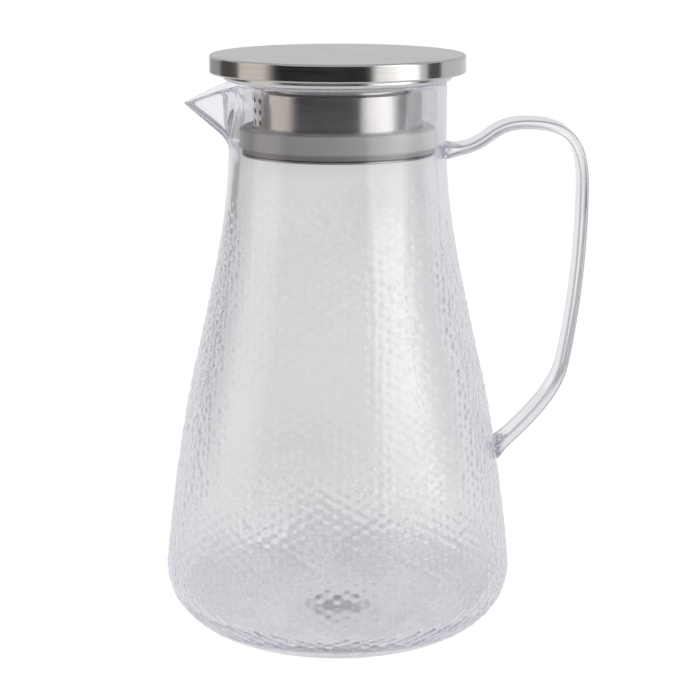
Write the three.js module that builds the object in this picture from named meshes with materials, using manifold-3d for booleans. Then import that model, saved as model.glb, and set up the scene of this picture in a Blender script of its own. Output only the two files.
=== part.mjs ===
// Acrylic jug with a steel strainer lid.
// Millimetres, +Z up. The origin is the centre of the flat base, on the axis of the jug.
// The spout points along -X and the handle stands on +X.

import * as THREE from 'three';
import { mergeVertices } from 'three/addons/utils/BufferGeometryUtils.js';
import Module from 'manifold-3d';

const wasm = await Module();
wasm.setup();

const degrees = THREE.MathUtils.degToRad;

// Jug: heights above the table, radii to the outside of the wall
const JUG_HEIGHT = 229.5;
const NECK_RADIUS = 44.4;
const NECK_LENGTH = 24.6;
const CONE_RADIUS = 59.7;
const CONE_HEIGHT = 109.8;
const CONE_TAPER = 0.24;
const BELLY_RADIUS = 72.25;
const BELLY_HEIGHT = 26;
const BASE_RADIUS = 48;
const WALL = 4;
const FLOOR = 5.5;
const RIM_ROUND = 1.2;

// Lengths of the curves that lead from one of those radii to the next
const FOOT_CURVE = 5;
const BELLY_CURVE_BELOW = 17;
const BELLY_CURVE_ABOVE = 9.4;
const CONE_CURVE_BELOW = 26;
const CONE_CURVE_ABOVE = 48;
const SHOULDER_CURVE = 24.5;

// Spout: a beak pulled out of the neck, whose lip dips below the rim so that it pours under the lid
const SPOUT_REACH = 62.8;
const SPOUT_DROP = 9.3;
const SPOUT_SPREAD = degrees(29);
const SPOUT_TIP_ROUND = degrees(4);
const SPOUT_LIP_WALL = 3.2;
const KEEL_RUN = 1.18;
const KEEL_BLEND = 4.5;
const LIP_BLEND = 1.6;

// Handle: a flat strap, placed by its centre line
const STRAP_WIDTH = 18;
const STRAP_THICKNESS = 3.6;
const STRAP_ROUND = 1.2;
const HANDLE_ROOT_DROP = 28.6;
const HANDLE_RISE = 11.2;
const HANDLE_ARCH = 32.6;
const HANDLE_STANDOFF = 55.9;
const HANDLE_CORNER_DROP = 27.2;
const HANDLE_LEAN = 6.9;
const HANDLE_BEND_HEIGHT = 113;
const HANDLE_BEND_ANGLE = degrees(11.5);
const HANDLE_FOOT_HEIGHT = 74.7;
const HANDLE_FOOT_ANGLE = degrees(42);
const ROOT_THICKNESS = 8;
const ROOT_LENGTH = 7;

// Shares of a stretch of the handle that the curves at its two ends take up
const ROOT_SHARE = 0.6;
const ARCH_SHARE_BEFORE = 0.5;
const ARCH_SHARE_AFTER = 0.74;
const CORNER_SHARE_BEFORE = 0.76;
const CORNER_SHARE_AFTER = 0.35;
const BEND_SHARE_BEFORE = 0.3;
const BEND_SHARE_AFTER = 0.24;
const FOOT_SHARE = 0.5;

// Lid: pressed sheet, a tube with a patch of holes, and a soft seal
const SHEET = 0.8;
const CAP_HEIGHT = 7.3;
const CAP_OVERHANG = 5.4;
const CAP_EDGE_ROUND = 0.9;
const HEM_HEIGHT = 1.6;
const HEM_DEPTH = 2.2;
const HEM_ROUND = 0.6;
const PLATE_STEP = 2.9;
const PLATE_OVERHANG = 2.2;
const PLATE_ROUND = 1.4;
const TUBE_LENGTH = 29.7;
const SEAL_DEPTH = 5.45;
const SEAL_FOOT_HEIGHT = 2.4;
const SEAL_LIP_HEIGHT = 7.5;
const SEAL_ROUND = 0.8;
const CARRIER_HEIGHT = 1;
const CARRIER_CLEARANCE = 1.5;
const CARRIER_ROUND = 0.35;
const HOLE_RADIUS = 1.2;
const HOLE_ROWS = 3;
const HOLE_COLUMNS = 7;
const HOLE_ROW_PITCH = 4.4;
const HOLE_COLUMN_PITCH = 5.7;
const HOLE_TOP_DROP = 7;

// Clearance between pieces that touch
const FIT = 0.3;

// How finely the round surfaces are divided
const JUG_SEGMENTS = 70;
const LID_SEGMENTS = 48;
const SPOUT_CROWDING = 0.5;
const CURVE_STEPS = 6;
const NECK_STEPS = 7;
const ROUND_STEPS = 2;
const HANDLE_STEPS = 54;
const HOLE_SIDES = 12;

// Radii and heights of the lid, stacked on the rim and inside the neck
const bore = NECK_RADIUS - WALL;
const plateRadius = NECK_RADIUS + PLATE_OVERHANG;
const capRadius = plateRadius + CAP_OVERHANG;
const sealRadius = bore - FIT;
const carrierRadius = bore - CARRIER_CLEARANCE;
const tubeRadius = sealRadius - SEAL_DEPTH - FIT;
const plateBottom = JUG_HEIGHT + FIT;
const capBottom = plateBottom + PLATE_STEP;
const capTop = capBottom + CAP_HEIGHT;
const tubeTop = plateBottom - FIT;
const tubeBottom = tubeTop - TUBE_LENGTH;
const carrierTop = tubeBottom + CARRIER_HEIGHT;
const sealBottom = carrierTop + FIT;

const point = (radius, height) => new THREE.Vector2(radius, height);

// Points of a curve that leaves start towards startHandle and reaches end from endHandle
function curve(start, startHandle, endHandle, end) {
  return new THREE.CubicBezierCurve(start, startHandle, endHandle, end).getPoints(CURVE_STEPS);
}

// Points of a quarter circle about a centre, anticlockwise from an angle in degrees
function quarter(x, y, round, from) {
  return new THREE.EllipseCurve(x, y, round, round, degrees(from), degrees(from + 90)).getPoints(ROUND_STEPS);
}

// Surface with its shared vertices merged and no triangle left that has lost its area
function weld(geometry) {
  geometry.deleteAttribute('normal');
  geometry.deleteAttribute('uv');
  const merged = mergeVertices(geometry);
  const corners = merged.index.array;
  const kept = [];
  for (let i = 0; i < corners.length; i += 3) {
    const [a, b, c] = corners.slice(i, i + 3);
    if (a !== b && b !== c && c !== a) kept.push(a, b, c);
  }
  merged.setIndex(kept);
  return merged;
}

// Solid of revolution about +Z, with its seam on -X.
// The outline runs up the outside, and ends on the axis or where it began.
function revolve(outline, segments) {
  const geometry = new THREE.LatheGeometry(outline, segments, -Math.PI / 2);
  geometry.rotateX(Math.PI / 2);
  return weld(geometry);
}

// Ring whose outline is closed by going back to its first point
function revolveRing(outline) {
  return revolve([...outline, outline[0]], LID_SEGMENTS);
}

function toSolid(geometry) {
  return new wasm.Manifold(new wasm.Mesh({
    numProp: 3,
    vertProperties: new Float32Array(geometry.attributes.position.array),
    triVerts: new Uint32Array(geometry.index.array),
  }));
}

function toGeometry(solid) {
  const mesh = solid.getMesh();
  const geometry = new THREE.BufferGeometry();
  geometry.setAttribute('position', new THREE.BufferAttribute(new Float32Array(mesh.vertProperties), 3));
  geometry.setIndex(new THREE.BufferAttribute(new Uint32Array(mesh.triVerts), 1));
  return geometry;
}

// Side of the jug from its base to the foot of the straight neck.
// The inside of the wall is the same line, moved in by the wall and started on the floor.
function sideLine(inset, floor) {
  const base = point(BASE_RADIUS - inset, floor);
  const belly = point(BELLY_RADIUS - inset, BELLY_HEIGHT);
  const cone = point(CONE_RADIUS - inset, CONE_HEIGHT);
  const shoulder = point(NECK_RADIUS - inset, JUG_HEIGHT - NECK_LENGTH);
  const along = point(-CONE_TAPER, 1).normalize();
  const foot = curve(
    base,
    point(base.x + FOOT_CURVE, base.y),
    point(belly.x, belly.y - BELLY_CURVE_BELOW),
    belly,
  );
  const lower = curve(
    belly,
    point(belly.x, belly.y + BELLY_CURVE_ABOVE),
    cone.clone().addScaledVector(along, -CONE_CURVE_BELOW),
    cone,
  );
  const upper = curve(
    cone,
    cone.clone().addScaledVector(along, CONE_CURVE_ABOVE),
    point(shoulder.x, shoulder.y - SHOULDER_CURVE),
    shoulder,
  );
  return [...foot, ...lower.slice(1), ...upper.slice(1)];
}

// Straight neck from the shoulder to the start of the rounded rim, in even steps
function neckLine(inset) {
  const foot = JUG_HEIGHT - NECK_LENGTH;
  const length = NECK_LENGTH - RIM_ROUND;
  const points = [];
  for (let step = 1; step < NECK_STEPS; step += 1) {
    points.push(point(NECK_RADIUS - inset, foot + length * step / NECK_STEPS));
  }
  return points;
}

// Larger of zero and a value, with the corner between them rounded off
function roundedMax(value, blend) {
  if (value <= -blend) return 0;
  if (value >= blend) return value;
  return (value + blend) ** 2 / (4 * blend);
}

// Angle from the spout's middle, flattened there so that the tip of the beak is round
function roundedAngle(angle) {
  return Math.hypot(angle, SPOUT_TIP_ROUND) - SPOUT_TIP_ROUND;
}

// How far the lip stands out from the neck at an angle from the spout's middle.
// Seen from above the lip is two straight lines, from the tip to where they leave the neck.
function lipPull(angle) {
  if (Math.abs(angle) > 2 * SPOUT_SPREAD) return 0;
  const spread = roundedAngle(SPOUT_SPREAD);
  const half = Math.atan2(
    NECK_RADIUS * Math.sin(spread),
    SPOUT_REACH - NECK_RADIUS * Math.cos(spread),
  );
  const reach = SPOUT_REACH * Math.sin(half) / Math.sin(half + roundedAngle(angle));
  return roundedMax(reach - NECK_RADIUS, LIP_BLEND);
}

// Crowds the divisions towards the spout, then pulls the beak out of the neck.
// Below the lip the pull fades at the slope of the keel, and the wall thins towards the tip.
function pullSpout(geometry) {
  const full = SPOUT_REACH - NECK_RADIUS;
  const foot = JUG_HEIGHT - SPOUT_DROP - (full + KEEL_BLEND) / KEEL_RUN;
  const thinning = (WALL - SPOUT_LIP_WALL) / full;
  const position = geometry.attributes.position;
  for (let i = 0; i < position.count; i += 1) {
    const radius = Math.hypot(position.getX(i), position.getY(i));
    const even = Math.atan2(position.getY(i), -position.getX(i));
    const angle = even - SPOUT_CROWDING * Math.sin(even);
    let height = position.getZ(i);
    let pulled = radius;
    if (height > foot && radius > 0) {
      const lip = lipPull(angle);
      const drop = SPOUT_DROP * lip / full;
      height -= drop * (height - foot) / (JUG_HEIGHT - foot);
      const pull = roundedMax(lip - KEEL_RUN * (JUG_HEIGHT - drop - height), KEEL_BLEND);
      const inside = THREE.MathUtils.clamp((NECK_RADIUS - radius) / WALL, 0, 1);
      pulled += Math.min(pull, lip) * (1 + thinning * inside);
    }
    position.setXYZ(i, -pulled * Math.cos(angle), pulled * Math.sin(angle), height);
  }
  return geometry;
}

function jugBody() {
  const rimStart = JUG_HEIGHT - RIM_ROUND;
  const outline = [
    point(0, 0),
    ...sideLine(0, 0),
    ...neckLine(0),
    ...quarter(NECK_RADIUS - RIM_ROUND, rimStart, RIM_ROUND, 0),
    ...quarter(bore + RIM_ROUND, rimStart, RIM_ROUND, 90),
    ...neckLine(WALL).reverse(),
    ...sideLine(WALL, FLOOR).reverse(),
    point(0, FLOOR),
  ];
  return pullSpout(revolve(outline, JUG_SEGMENTS));
}

// Everything inside the jug's outer surface and the bond's clearance, for trimming what is bonded to it
function jugEnvelope() {
  const outline = [
    point(0, 0),
    ...sideLine(-FIT, 0),
    ...neckLine(-FIT),
    point(NECK_RADIUS + FIT, JUG_HEIGHT),
    point(0, JUG_HEIGHT),
  ];
  return pullSpout(revolve(outline, JUG_SEGMENTS));
}

// Outside radius of the jug's side at a height
function sideRadius(height) {
  const line = sideLine(0, 0);
  const above = line.findIndex((place) => place.y > height);
  const low = line[above - 1];
  const high = line[above];
  return THREE.MathUtils.mapLinear(height, low.y, high.y, low.x, high.x);
}

// Centre line of the handle in the XZ plane. It starts and ends halfway into the jug's wall.
function handleLine() {
  const rootHeight = JUG_HEIGHT - HANDLE_ROOT_DROP;
  const root = point(NECK_RADIUS - WALL / 2, rootHeight);
  const arch = point(NECK_RADIUS + HANDLE_ARCH, rootHeight + HANDLE_RISE);
  const corner = point(NECK_RADIUS + HANDLE_STANDOFF, arch.y - HANDLE_CORNER_DROP);
  const bend = point(corner.x - HANDLE_LEAN, HANDLE_BEND_HEIGHT);
  const foot = point(sideRadius(HANDLE_FOOT_HEIGHT) - WALL / 2, HANDLE_FOOT_HEIGHT);
  const bendWay = point(-Math.sin(HANDLE_BEND_ANGLE), -Math.cos(HANDLE_BEND_ANGLE));
  const footWay = point(-Math.cos(HANDLE_FOOT_ANGLE), -Math.sin(HANDLE_FOOT_ANGLE));
  const rise = arch.x - root.x;
  const turn = corner.x - arch.x;
  const grip = corner.distanceTo(bend);
  const leg = bend.distanceTo(foot);
  const line = new THREE.CurvePath();
  line.add(new THREE.CubicBezierCurve(
    root,
    point(root.x + ROOT_SHARE * rise, root.y),
    point(arch.x - ARCH_SHARE_BEFORE * rise, arch.y),
    arch,
  ));
  line.add(new THREE.CubicBezierCurve(
    arch,
    point(arch.x + ARCH_SHARE_AFTER * turn, arch.y),
    point(corner.x, corner.y + CORNER_SHARE_BEFORE * HANDLE_CORNER_DROP),
    corner,
  ));
  line.add(new THREE.CubicBezierCurve(
    corner,
    point(corner.x, corner.y - CORNER_SHARE_AFTER * grip),
    bend.clone().addScaledVector(bendWay, -BEND_SHARE_BEFORE * grip),
    bend,
  ));
  line.add(new THREE.CubicBezierCurve(
    bend,
    bend.clone().addScaledVector(bendWay, BEND_SHARE_AFTER * leg),
    foot.clone().addScaledVector(footWay, -FOOT_SHARE * leg),
    foot,
  ));
  return line;
}

// Rounded outline of the strap, with its width along x and its thickness along y
function strapSection(thickness) {
  const x = STRAP_WIDTH / 2 - STRAP_ROUND;
  const y = thickness / 2 - STRAP_ROUND;
  return [
    ...quarter(x, y, STRAP_ROUND, 0),
    ...quarter(-x, y, STRAP_ROUND, 90),
    ...quarter(-x, -y, STRAP_ROUND, 180),
    ...quarter(x, -y, STRAP_ROUND, 270),
  ];
}

// Solid through sections set square to a line in the XZ plane, closed by a flat face at both ends
function loft(line, steps, sectionAt) {
  const places = [];
  const corners = [];
  const count = sectionAt(0).length;
  for (let step = 0; step <= steps; step += 1) {
    const share = step / steps;
    const centre = line.getPoint(share);
    const way = line.getTangent(share);
    for (const place of sectionAt(share)) {
      places.push(centre.x - way.y * place.y, place.x, centre.y + way.x * place.y);
    }
  }
  for (let step = 0; step < steps; step += 1) {
    for (let i = 0; i < count; i += 1) {
      const a = step * count + i;
      const b = step * count + (i + 1) % count;
      corners.push(a, b, b + count, a, b + count, a + count);
    }
  }
  const last = steps * count;
  for (let i = 1; i < count - 1; i += 1) {
    corners.push(0, i + 1, i);
    corners.push(last, last + i, last + i + 1);
  }
  const geometry = new THREE.BufferGeometry();
  geometry.setAttribute('position', new THREE.Float32BufferAttribute(places, 3));
  geometry.setIndex(corners);
  return geometry;
}

// Strap that thickens into its two roots, trimmed to the surface it is bonded to
function handle() {
  const line = handleLine();
  const length = line.getLength();
  const sectionAt = (share) => {
    const fromEnd = Math.min(share, 1 - share) * length - WALL / 2;
    const flare = THREE.MathUtils.clamp(1 - fromEnd / ROOT_LENGTH, 0, 1) ** 2;
    return strapSection(THREE.MathUtils.lerp(STRAP_THICKNESS, ROOT_THICKNESS, flare));
  };
  const strap = toSolid(loft(line, HANDLE_STEPS, sectionAt));
  return toGeometry(strap.subtract(toSolid(jugEnvelope())));
}

// Flat cap with a skirt, whose lower edge is rolled inwards into a hem
function lidCap() {
  const hemInner = capRadius - HEM_DEPTH;
  const hemTop = capBottom + HEM_HEIGHT;
  return revolve([
    point(0, capTop - SHEET),
    point(capRadius - SHEET, capTop - SHEET),
    point(capRadius - SHEET, hemTop),
    ...quarter(hemInner + HEM_ROUND, hemTop - HEM_ROUND, HEM_ROUND, 90),
    ...quarter(hemInner + HEM_ROUND, capBottom + HEM_ROUND, HEM_ROUND, 180),
    ...quarter(capRadius - HEM_ROUND, capBottom + HEM_ROUND, HEM_ROUND, 270),
    ...quarter(capRadius - CAP_EDGE_ROUND, capTop - CAP_EDGE_ROUND, CAP_EDGE_ROUND, 0),
    point(0, capTop),
  ], LID_SEGMENTS);
}

// Shallow dish that stands on the rim, with a flange that the cap's hem holds
function lidUnderplate() {
  const flangeRadius = capRadius - SHEET - FIT;
  const flangeBottom = capBottom + HEM_HEIGHT + FIT;
  const flangeTop = flangeBottom + SHEET;
  return revolve([
    point(0, plateBottom),
    ...quarter(plateRadius - PLATE_ROUND, plateBottom + PLATE_ROUND, PLATE_ROUND, 270),
    point(plateRadius, flangeBottom),
    point(flangeRadius, flangeBottom),
    point(flangeRadius, flangeTop),
    point(plateRadius - SHEET, flangeTop),
    point(plateRadius - SHEET, plateBottom + PLATE_ROUND),
    point(plateRadius - PLATE_ROUND, plateBottom + SHEET),
    point(0, plateBottom + SHEET),
  ], LID_SEGMENTS);
}

// Tube with rows of round holes, centred on the spout's direction
function strainerTube() {
  let tube = toSolid(revolveRing([
    point(tubeRadius, tubeBottom),
    point(tubeRadius, tubeTop),
    point(tubeRadius - SHEET, tubeTop),
    point(tubeRadius - SHEET, tubeBottom),
  ]));
  const drill = new THREE.CylinderGeometry(HOLE_RADIUS, HOLE_RADIUS, SHEET * 4, HOLE_SIDES);
  drill.rotateZ(Math.PI / 2);
  for (let row = 0; row < HOLE_ROWS; row += 1) {
    for (let column = 0; column < HOLE_COLUMNS; column += 1) {
      const angle = (column - (HOLE_COLUMNS - 1) / 2) * HOLE_COLUMN_PITCH / tubeRadius;
      const height = JUG_HEIGHT - HOLE_TOP_DROP - row * HOLE_ROW_PITCH;
      const cutter = drill.clone();
      cutter.translate(-tubeRadius, 0, height);
      cutter.rotateZ(angle);
      tube = tube.subtract(toSolid(weld(cutter)));
    }
  }
  return toGeometry(tube);
}

// Flange ring at the foot of the tube, with both of its outer edges rounded
function sealCarrier() {
  const inner = tubeRadius + FIT;
  const middle = carrierRadius - CARRIER_ROUND;
  return revolveRing([
    point(inner, tubeBottom),
    ...quarter(middle, tubeBottom + CARRIER_ROUND, CARRIER_ROUND, 270),
    ...quarter(middle, carrierTop - CARRIER_ROUND, CARRIER_ROUND, 0),
    point(inner, carrierTop),
  ]);
}

// Soft ring on the carrier: a foot as wide as the carrier, and above it a lip that fills the neck
function seal() {
  const inner = tubeRadius + FIT;
  const lipBottom = sealBottom + SEAL_FOOT_HEIGHT;
  const lipTop = lipBottom + SEAL_LIP_HEIGHT;
  return revolveRing([
    point(inner, sealBottom),
    point(carrierRadius, sealBottom),
    point(carrierRadius, lipBottom),
    ...quarter(sealRadius - SEAL_ROUND, lipBottom + SEAL_ROUND, SEAL_ROUND, 270),
    ...quarter(sealRadius - SEAL_ROUND, lipTop - SEAL_ROUND, SEAL_ROUND, 0),
    point(inner, lipTop),
  ]);
}

const acrylic = { color: 0xe6e6ee, roughness: 0.06, metalness: 0, transparent: true, opacity: 0.35 };
const steel = { color: 0xb9b9ba, roughness: 0.32, metalness: 1 };
const silicone = { color: 0xdcdcd8, roughness: 0.55, metalness: 0, transparent: true, opacity: 0.8 };

function piece(name, geometry, look) {
  geometry.computeVertexNormals();
  const mesh = new THREE.Mesh(geometry, new THREE.MeshStandardMaterial(look));
  mesh.name = name;
  return mesh;
}

const vessel = new THREE.Group();
vessel.add(
  piece('jug_body', jugBody(), acrylic),
  piece('handle', handle(), acrylic),
);

const lid = new THREE.Group();
lid.add(
  piece('lid_cap', lidCap(), steel),
  piece('lid_underplate', lidUnderplate(), steel),
  piece('strainer_tube', strainerTube(), steel),
  piece('seal_carrier', sealCarrier(), steel),
  piece('seal', seal(), silicone),
);

const assembly = new THREE.Group();
assembly.add(vessel, lid);

export default assembly;
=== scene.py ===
# %% [markdown]
# # A hammered acrylic jug with a steel strainer lid
# The jug is a clear moulded flask with a pulled spout, a bonded strap handle and a lid that lifts out.
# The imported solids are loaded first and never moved. The finer pieces could be sculpted over them by
# hand, but here each is computed in the same place from the same sizes, so that it fits, and then rides
# on the body that it belongs to: the jug, the seal or the lid.

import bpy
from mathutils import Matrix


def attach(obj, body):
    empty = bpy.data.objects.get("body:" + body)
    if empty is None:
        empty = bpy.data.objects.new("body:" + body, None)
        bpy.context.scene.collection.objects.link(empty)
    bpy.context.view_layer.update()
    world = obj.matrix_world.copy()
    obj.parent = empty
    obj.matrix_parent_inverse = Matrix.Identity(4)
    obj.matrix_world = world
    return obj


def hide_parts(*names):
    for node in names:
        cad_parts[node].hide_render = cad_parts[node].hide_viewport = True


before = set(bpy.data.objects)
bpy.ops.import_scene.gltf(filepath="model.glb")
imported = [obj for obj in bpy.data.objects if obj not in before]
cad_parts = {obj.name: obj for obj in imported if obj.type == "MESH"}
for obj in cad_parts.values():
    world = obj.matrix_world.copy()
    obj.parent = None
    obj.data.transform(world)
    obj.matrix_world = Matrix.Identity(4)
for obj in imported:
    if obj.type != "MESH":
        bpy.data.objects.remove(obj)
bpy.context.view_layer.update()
print("solids:", sorted(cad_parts))

# %% [markdown]
# A jug is measured in millimetres, while Blender works in metres. The scene's units could be changed, but
# then everything that shares this frame would have to agree. So lengths of pieces are written in
# millimetres and multiplied once, when a mesh is made, and lengths inside node trees are in metres. The
# jug's axis is Z, the spout points along -X and the handle along +X.

# %% Tools and units
import math

import bpy
import numpy as np
from mathutils import kdtree

MM = 0.001
TURN = 2.0 * math.pi
scene = bpy.context.scene

# %% [markdown]
# ## The camera
# The photograph was taken with a long lens, a little above the lid and looking down by twelve degrees. A
# short lens from close by would fill the frame too, but it would open the lid's ellipse and lean the
# sides. Light turns round many times inside clear walls, and Cycles counts every turn as a bounce, so the
# limits are raised until no path is cut short and left black.

# %% Place the camera
CAMERA_PLACE = (0.00097, -0.9116, 0.3154)
CAMERA_PITCH = math.radians(12.01)
CAMERA_LENS = 118.68
SENSOR_WIDTH = 36.0
MOST_BOUNCES = 256

camera_data = bpy.data.cameras.new("camera")
camera_data.lens = CAMERA_LENS
camera_data.sensor_width = SENSOR_WIDTH
camera = bpy.data.objects.new("camera", camera_data)
camera.location = CAMERA_PLACE
camera.rotation_euler = (math.pi / 2 - CAMERA_PITCH, 0.0, 0.0)
scene.collection.objects.link(camera)
scene.camera = camera
scene.view_settings.view_transform = "Standard"
scene.cycles.max_bounces = MOST_BOUNCES
scene.cycles.glossy_bounces = MOST_BOUNCES
scene.cycles.transmission_bounces = MOST_BOUNCES
print("camera lens in mm:", camera_data.lens)

# %% [markdown]
# Every finish of the jug, the room and the lights is a node tree, and the same few steps come back in
# each of them. Trees can be drawn by hand in the node editor, but written ones keep every number in
# sight. These helpers keep that short: they add a node and fill its inputs, do arithmetic, run smoothly
# between two values, mix two colours and make noise.

# %% Helpers for node trees


def feed(tree, socket, value):
    """Links another socket into this one, or sets its own value. A colour is given without its alpha."""
    if isinstance(value, bpy.types.NodeSocket):
        tree.links.new(value, socket)
    else:
        socket.default_value = (*value, 1.0) if socket.type == "RGBA" else value


def fill(tree, node, **values):
    """Feeds inputs by their labels, with an underscore for each space."""
    for label, value in values.items():
        feed(tree, node.inputs[label.replace("_", " ")], value)


def add(tree, kind, **values):
    node = tree.nodes.new("ShaderNode" + kind)
    fill(tree, node, **values)
    return node


def maths(tree, operation, *values):
    node = add(tree, "Math")
    node.operation = operation
    for socket, value in zip(node.inputs, values):
        feed(tree, socket, value)
    return node.outputs[0]


def times(tree, first, second):
    return maths(tree, "MULTIPLY", first, second)


def ease(tree, value, low, high, to_low=0.0, to_high=1.0):
    """Runs smoothly from to_low to to_high while value runs from low to high."""
    node = add(tree, "MapRange", Value=value, From_Min=low, From_Max=high, To_Min=to_low, To_Max=to_high)
    node.interpolation_type = "SMOOTHSTEP"
    return node.outputs["Result"]


def fade(tree, value, low, high):
    return ease(tree, value, low, high, 1.0, 0.0)


def mix(tree, share, first, second):
    """Mixes two colours. The Mix node keeps its colour sockets after those for numbers and vectors."""
    node = add(tree, "Mix")
    node.data_type = "RGBA"
    for place, value in zip((0, 6, 7), (share, first, second)):
        feed(tree, node.inputs[place], value)
    return node.outputs[2]


def noise(tree, vector, scale, detail, roughness=0.5):
    node = add(tree, "TexNoise", Vector=vector, Scale=scale, Detail=detail, Roughness=roughness)
    return node.outputs["Fac"]


print("helpers for numbers and colours ready")

# %% [markdown]
# Marks on a real piece go along with it when it moves. Unwrapped coordinates could place them too, but
# Object coordinates need no unwrapping, are in metres and stay with their object in every pose. They are
# split into X, Y and Z here, and measured from the axis or from a spot.

# %% Helpers for places


def object_place(tree):
    return add(tree, "TexCoord").outputs["Object"]


def split(tree, vector):
    return add(tree, "SeparateXYZ", Vector=vector).outputs


def off_axis(tree, place):
    """How far a split place is from the Z axis."""
    squares = [times(tree, place[axis], place[axis]) for axis in "XY"]
    return maths(tree, "SQRT", maths(tree, "ADD", *squares))


def distance_from(tree, spot):
    node = add(tree, "VectorMath")
    node.operation = "DISTANCE"
    feed(tree, node.inputs[0], object_place(tree))
    feed(tree, node.inputs[1], spot)
    return node.outputs["Value"]


print("helpers for places ready")

# %% [markdown]
# ## The studio
# The paper round the jug is pure white in the photograph, while the jug shows a soft grey room through
# its walls. One plain white world would leave the clear walls without any edge. So a Light Path node
# tells what kind of ray arrives. The camera's own rays meet white. Rays that were only bent look straight
# through the jug and meet a bright room. Mirrored rays meet a greyer one, and rays that were mirrored
# inside a wall meet a third.

# %% Light the room
SIDE_SPAN, CEILING_SPAN = (0.3, 0.95), (0.3, 0.85)
PAPER_WHITE = (1.0, 1.0, 1.0)
# Depths are whole numbers, so a limit half a step between two of them is safe.
NO_DEPTH_YET = 0.5


def only_bent(tree, ray, least, other):
    """One for a ray that clear walls have bent more than least times, without a bounce of the other kind."""
    bent = maths(tree, "GREATER_THAN", ray["Transmission Depth"], least)
    return times(tree, bent, maths(tree, "LESS_THAN", ray[other], NO_DEPTH_YET))


def straight_through(tree, ray):
    return only_bent(tree, ray, NO_DEPTH_YET, "Glossy Depth")


def room_colour(ahead, side, ceiling):
    return mix(room, to_ceiling, mix(room, to_side, ahead, side), ceiling)


world = bpy.data.worlds.new("studio")
scene.world = world
world.use_nodes = True
room = world.node_tree
room.nodes.clear()
heading = split(room, add(room, "TexCoord").outputs["Generated"])
to_side = ease(room, maths(room, "ABSOLUTE", heading["X"]), *SIDE_SPAN)
to_ceiling = ease(room, heading["Z"], *CEILING_SPAN)
room_ray = add(room, "LightPath").outputs
entered = maths(room, "GREATER_THAN", room_ray["Transmission Depth"], NO_DEPTH_YET)
mirrored_room = room_colour((0.66, 0.66, 0.665), (0.76, 0.74, 0.81), (0.60, 0.60, 0.62))
inside_room = mix(room, to_ceiling, (0.80, 0.795, 0.82), (0.60, 0.59, 0.64))
mirrored_room = mix(room, entered, mirrored_room, inside_room)
through_room = room_colour((0.90, 0.90, 0.90), (0.74, 0.73, 0.78), (0.40, 0.37, 0.50))
room_seen = mix(room, straight_through(room, room_ray), mirrored_room, through_room)
room_seen = mix(room, room_ray["Is Camera Ray"], room_seen, PAPER_WHITE)
backdrop = add(room, "Background", Color=room_seen)
room.links.new(backdrop.outputs[0], add(room, "OutputWorld").inputs["Surface"])
print("room nodes:", len(room.nodes))

# %% [markdown]
# The paper and the lamps of the studio are sheets that shine by themselves. Blender's own area lights
# would do for the lamps, but those are flat, while a mesh can be curved and its glow shaded by nodes. The
# helper that makes a mesh from points and faces also serves the jug later.

# %% Helpers for shapes that shine


def shape(name, points, faces):
    """A smooth mesh object from points in millimetres."""
    mesh = bpy.data.meshes.new(name)
    mesh.from_pydata(np.asarray(points) * MM, [], faces)
    mesh.update()
    mesh.polygons.foreach_set("use_smooth", [True] * len(mesh.polygons))
    made = bpy.data.objects.new(name, mesh)
    scene.collection.objects.link(made)
    return made


def glow(name, colour, strength=1.0):
    """A material that only shines, and its emission node."""
    material = bpy.data.materials.new(name)
    material.use_nodes = True
    tree = material.node_tree
    tree.nodes.clear()
    light = add(tree, "Emission", Color=colour, Strength=strength)
    tree.links.new(light.outputs[0], add(tree, "OutputMaterial").inputs["Surface"])
    return material, light


print("helpers for shapes ready")

# %% [markdown]
# The jug stands on paper that is lit from below, so there is no shadow. A white floor under many lamps
# could come close, but glowing paper needs none. Seen through the jug it is mottled, and the mottle grows
# with the distance, because its noise is laid out over the bearing and the logarithm of the distance. It
# fades further back, turns bright again beyond, and is shaded under the jug. Two grey flags lie behind
# the jug. Only rays that went through both walls see them, and they draw the darker sides of the body.

# %% Colour the paper
FLOOR_HALF, FLOOR_DROP = 9000.0, -0.05
FLOOR_MIRRORED = (0.80, 0.795, 0.82)
FLOOR_BRIGHT, FLOOR_DULL = (0.98, 0.98, 0.98), (0.86, 0.86, 0.865)
FLOOR_NEAR_BRIGHT, FLOOR_NEAR_DULL = (1.06, 1.06, 1.06), (0.80, 0.80, 0.805)
FLOOR_FAR, FLOOR_BEYOND = (0.64, 0.64, 0.645), (0.96, 0.96, 0.96)
FLOOR_SHADE, FLOOR_SHADE_DULL = (0.84, 0.832, 0.853), (0.69, 0.683, 0.703)
FLAG_GREY = (0.34, 0.33, 0.37)
BOTH_WALLS_DEPTH = 3.5
ORIGIN, BRIGHT_SPOT, SHADE_SPOT = (0.0, 0.0, 0.0), (0.0, 0.3, 0.0), (0.0, 0.035, 0.0)
MOTTLE_SCALE, MOTTLE_DETAIL, MOTTLE_SPAN = 4.5, 1.0, (0.36, 0.64)
NEAR_SPAN, FAR_SPAN, BEYOND_SPAN = (0.12, 0.32), (0.5, 2.4), (1.05, 1.4)
SHADE_SPAN, FLAG_DISTANCE = (0.085, 0.14), (0.2, 0.4)
FLAG_STARTS, FLAG_ENDS = np.radians((24, 35)).tolist(), np.radians((44, 54)).tolist()


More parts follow.
